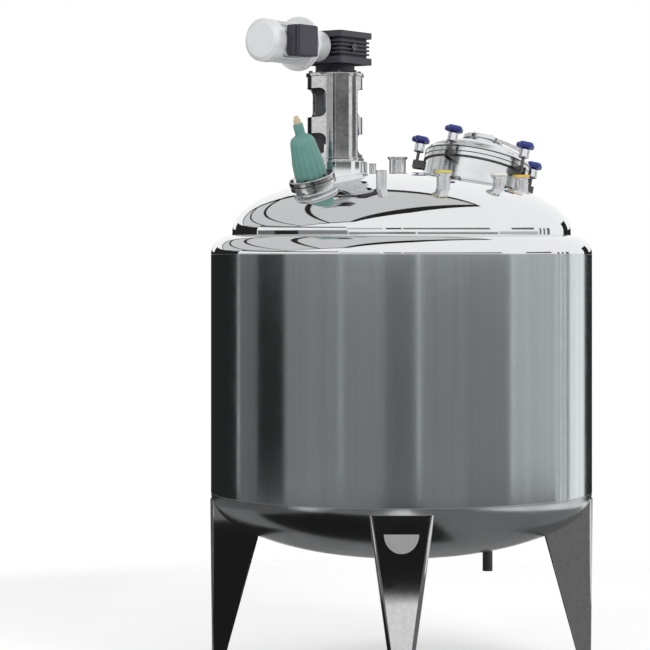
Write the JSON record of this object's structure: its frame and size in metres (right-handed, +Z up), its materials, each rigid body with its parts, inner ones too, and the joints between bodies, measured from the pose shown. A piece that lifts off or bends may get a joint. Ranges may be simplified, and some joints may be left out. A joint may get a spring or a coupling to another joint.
{
  "type": "jacketed mixing tank",
  "caption": "Stainless jacketed mixing tank on plate legs, with a domed top, gear motor on a windowed lantern, inspection lamp, capped ports and a clamped manway.",
  "frame": {"origin": "on the floor, under the tank's axis", "axes": "+Z up; the front, with the front leg, looks along -Y; the drive stands to the left at -X, and the manway at the back right"},
  "size_m": [1.4, 1.4, 2.389],
  "materials": {
    "polished_steel": "mirror-polished stainless steel",
    "brushed_steel": "bright stainless sheet",
    "leg_steel": "satin stainless plate, faintly mottled",
    "gearbox_paint": "dark charcoal paint",
    "motor_alloy": "plain light alloy, a guess",
    "lamp_paint": "teal enamel",
    "gland_plastic": "cream plastic",
    "knob_plastic": "dark blue moulded plastic",
    "yellow_cap": "yellow moulded plastic",
    "white_cap": "white moulded plastic",
    "black_rubber": "black sealing rubber",
    "sight_glass": "thick sight glass, seen at its edge"
  },
  "bodies": {
    "root": {"agitator_pad": "polished_steel", "bottom_outlet": "polished_steel", "fan_cover": "motor_alloy", "gearbox": "gearbox_paint", "gearbox_neck": "gearbox_paint", "inner_bottom_head": "brushed_steel", "inner_shell": "brushed_steel", "jacket_drain": "brushed_steel", "lamp_gland": "gland_plastic", "lamp_housing": "lamp_paint", "lantern": "polished_steel", "leg_back": "leg_steel", "leg_front": "leg_steel", "leg_left": "leg_steel", "leg_right": "leg_steel", "manway_neck": "polished_steel", "motor_adapter": "motor_alloy", "motor_body": "motor_alloy", "outer_bottom_head": "brushed_steel", "outer_shell": "brushed_steel", "port_far_right": "polished_steel", "port_far_right_cap": "yellow_cap", "port_front": "polished_steel", "port_front_cap": "yellow_cap", "port_front_left": "polished_steel", "port_middle": "polished_steel", "port_right": "polished_steel", "port_right_cap": "white_cap", "port_small": "polished_steel", "shaft_seal": "polished_steel", "shoulder_ring": "polished_steel", "sight_port": "polished_steel", "sight_port_glass": "sight_glass", "sight_port_ring": "polished_steel", "terminal_box": "gearbox_paint", "top_head": "polished_steel"},
    "agitator": {"agitator_shaft": "polished_steel", "shaft_coupling": "brushed_steel", "paddle": "brushed_steel"},
    "cover": {"manway_cover": "polished_steel", "cover_gasket": "black_rubber", "cover_sight_ring": "polished_steel", "cover_handle": "polished_steel", "cover_hinge_arm": "brushed_steel"},
    "clamp_1": {"swing_bolt_1": "polished_steel", "star_knob_1": "knob_plastic"},
    "clamp_2": {"swing_bolt_2": "polished_steel", "star_knob_2": "knob_plastic"},
    "clamp_3": {"swing_bolt_3": "polished_steel", "star_knob_3": "knob_plastic"},
    "clamp_4": {"swing_bolt_4": "polished_steel", "star_knob_4": "knob_plastic"}
  },
  "joints": [
    {"name": "agitator_spin", "type": "hinge", "parent": "root", "child": "agitator", "pos_m": [-0.245, 0, 2], "axis": [0, 0, 1], "continuous": true},
    {"name": "cover_hinge", "type": "hinge", "parent": "root", "child": "cover", "pos_m": [0.2551, 0.5457, 1.83285], "axis": [-0.9698, -0.1093, 0.218], "range_deg": [0, 100]},
    {"name": "clamp_1_swing", "type": "hinge", "parent": "root", "child": "clamp_1", "pos_m": [0.05626, 0.35303, 1.87687], "axis": [-0.1569, -0.9583, 0.2389], "range_deg": [0, 90]},
    {"name": "clamp_2_swing", "type": "hinge", "parent": "root", "child": "clamp_2", "pos_m": [0.1785, 0.10697, 1.90566], "axis": [0.8728, -0.4829, -0.0703], "range_deg": [0, 90]},
    {"name": "clamp_3_swing", "type": "hinge", "parent": "root", "child": "clamp_3", "pos_m": [0.44642, 0.13717, 1.84545], "axis": [0.6963, 0.6598, -0.2824], "range_deg": [0, 90]},
    {"name": "clamp_4_swing", "type": "hinge", "parent": "root", "child": "clamp_4", "pos_m": [0.48976, 0.4019, 1.77944], "axis": [-0.4425, 0.8907, -0.1042], "range_deg": [0, 90]}
  ],
  "couplings": [
    {"joint": "clamp_1_swing", "follows": "cover_hinge", "ratio": 0.9},
    {"joint": "clamp_2_swing", "follows": "cover_hinge", "ratio": 0.9},
    {"joint": "clamp_3_swing", "follows": "cover_hinge", "ratio": 0.9},
    {"joint": "clamp_4_swing", "follows": "cover_hinge", "ratio": 0.9}
  ]
}
